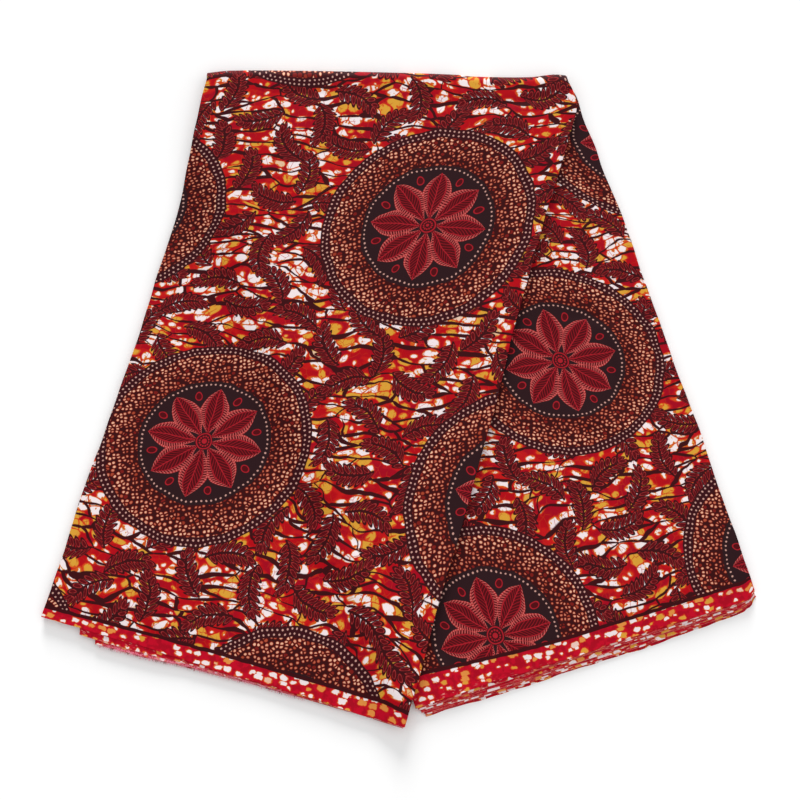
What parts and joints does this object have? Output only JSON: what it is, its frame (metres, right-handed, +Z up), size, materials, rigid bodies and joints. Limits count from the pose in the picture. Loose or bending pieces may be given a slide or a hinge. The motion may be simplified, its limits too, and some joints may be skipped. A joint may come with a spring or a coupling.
{
  "type": "folded wax print cloth",
  "caption": "Six-yard printed cotton cloth, pleated into a long flat strip and folded over its middle so that its two layered legs fan out, selvedges at their ends.",
  "frame": {"origin": "on the surface that the cloth lies on, under the middle of its outline", "axes": "+X to the right of the two legs, +Y from the selvedges towards the fold, +Z up"},
  "size_m": [0.6668, 0.6274, 0.016],
  "materials": {
    "wax_print": "printed plain-weave cotton with a slight wax sheen",
    "folded_edges": "stacked folded edges of the same cotton",
    "selvedge": "red printed selvedge with pale flecks, slightly frayed"
  },
  "bodies": {
    "root": {"left_leg_face": "wax_print", "right_leg_face": "wax_print", "left_leg_underside": "wax_print", "right_leg_underside": "wax_print", "hidden_layers": "folded_edges", "left_selvedge_2": "selvedge", "left_selvedge_3": "selvedge", "right_selvedge_2": "selvedge", "right_selvedge_3": "selvedge", "right_selvedge_4": "selvedge"}
  },
  "joints": []
}
